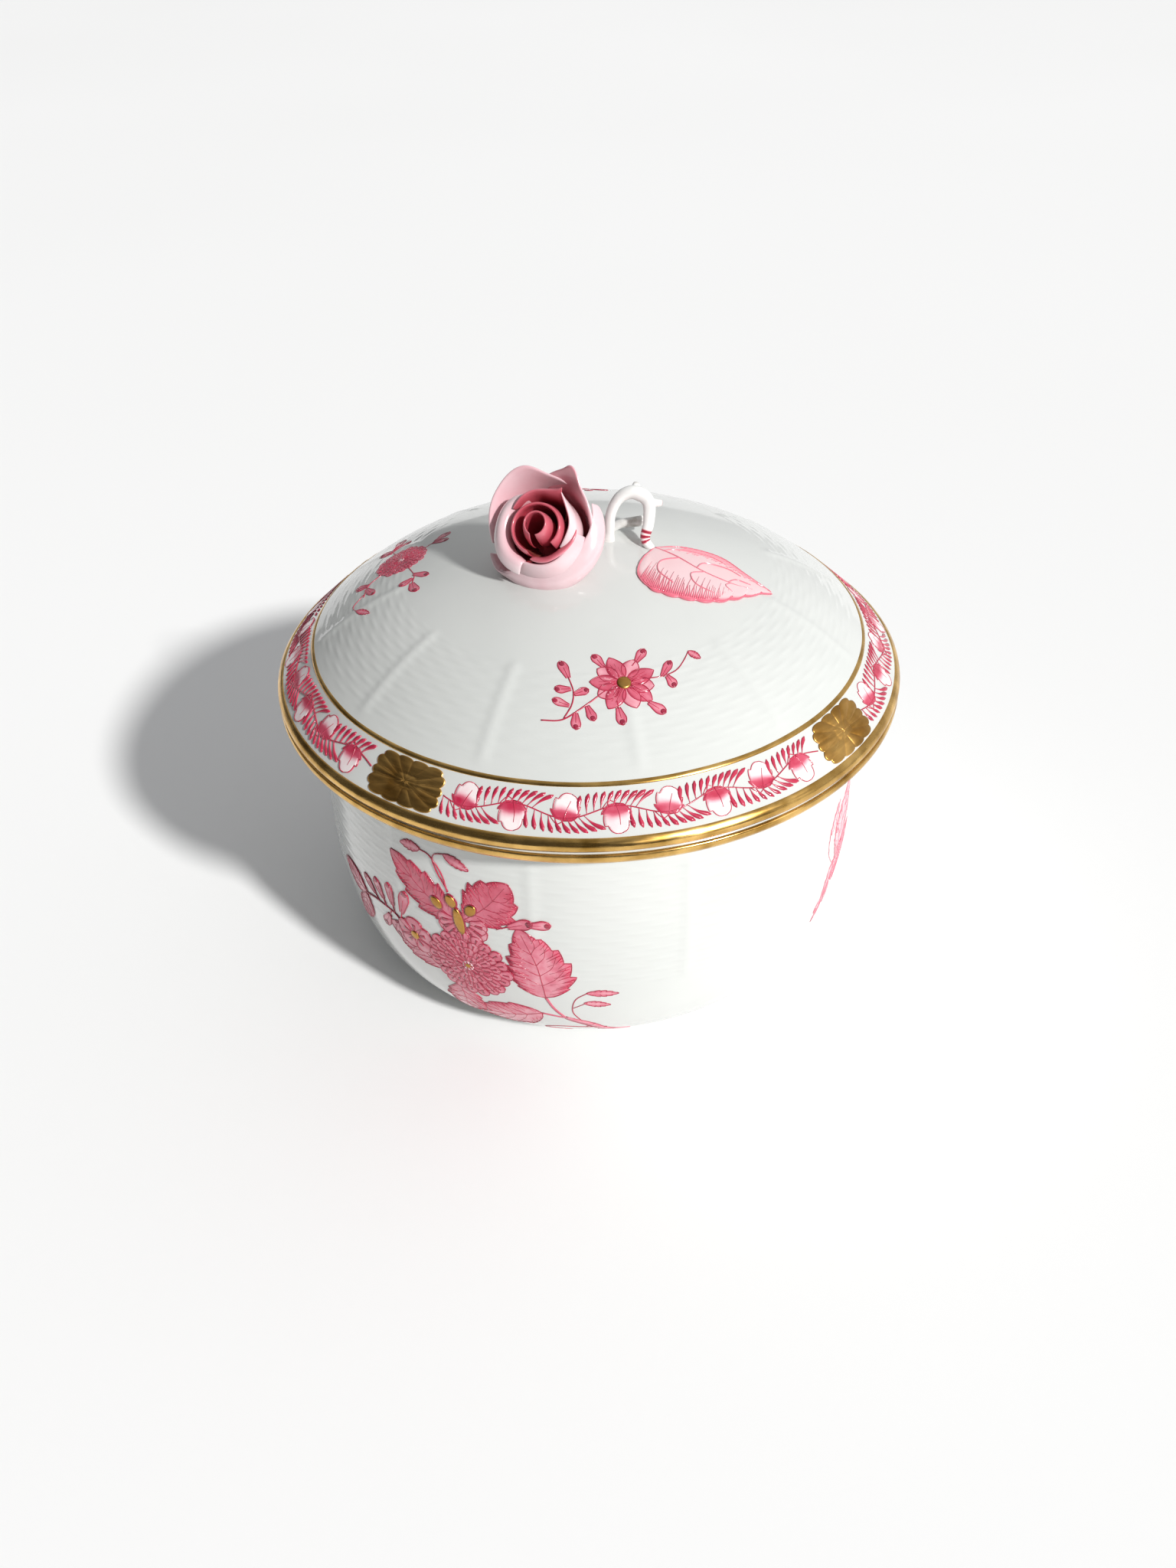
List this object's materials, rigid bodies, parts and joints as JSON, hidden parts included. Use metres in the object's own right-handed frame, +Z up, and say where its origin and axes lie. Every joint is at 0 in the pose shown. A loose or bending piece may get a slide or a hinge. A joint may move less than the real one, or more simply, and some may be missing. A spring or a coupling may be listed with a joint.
{
  "type": "porcelain trinket box",
  "caption": "Round lidded porcelain box with a rounded bowl, domed lift-off lid, gilded rims and a modelled rose with twig and leaf on top.",
  "frame": {"origin": "centre of the foot ring's underside, on the surface that the box stands on", "axes": "+Z up along the axis of the bowl and lid; the rose on the lid leans towards -Y, the front"},
  "size_m": [0.112, 0.112, 0.0954],
  "materials": {
    "white_porcelain": "clear glaze over cool white hard-paste porcelain",
    "gilding": "burnished hand-painted gold",
    "pale_petal": "glazed, shaded from pale pink to white",
    "crimson_petal": "glazed, deep crimson pink",
    "pink_enamel": "translucent pink enamel with crimson line work"
  },
  "bodies": {
    "bowl_body": {"bowl": "white_porcelain", "bowl_rim_gilding": "gilding"},
    "lid_body": {"lid": "white_porcelain", "lid_rim_gilding": "gilding", "lid_gold_line": "gilding", "gold_medallion_1": "gilding", "gold_medallion_2": "gilding", "gold_medallion_3": "gilding", "gold_medallion_4": "gilding", "rose_base": "pale_petal", "rose_bud": "crimson_petal", "rose_wrap": "crimson_petal", "rose_inner_petal_back": "crimson_petal", "rose_inner_petal_right": "crimson_petal", "rose_inner_petal_front": "crimson_petal", "rose_middle_petal_left": "pale_petal", "rose_middle_petal_front": "pale_petal", "rose_outer_petal_left": "pale_petal", "rose_outer_petal_right": "pale_petal", "rose_outer_petal_front": "pale_petal", "twig_arch": "white_porcelain", "twig_shoot_lower": "white_porcelain", "twig_shoot_upper": "white_porcelain", "twig_shoot_side": "white_porcelain", "leaf": "pink_enamel"}
  },
  "joints": [
    {"name": "lid_lift", "type": "slide", "parent": "bowl_body", "child": "lid_body", "axis": [0, 0, 1], "range_m": [0, 0.08]}
  ]
}
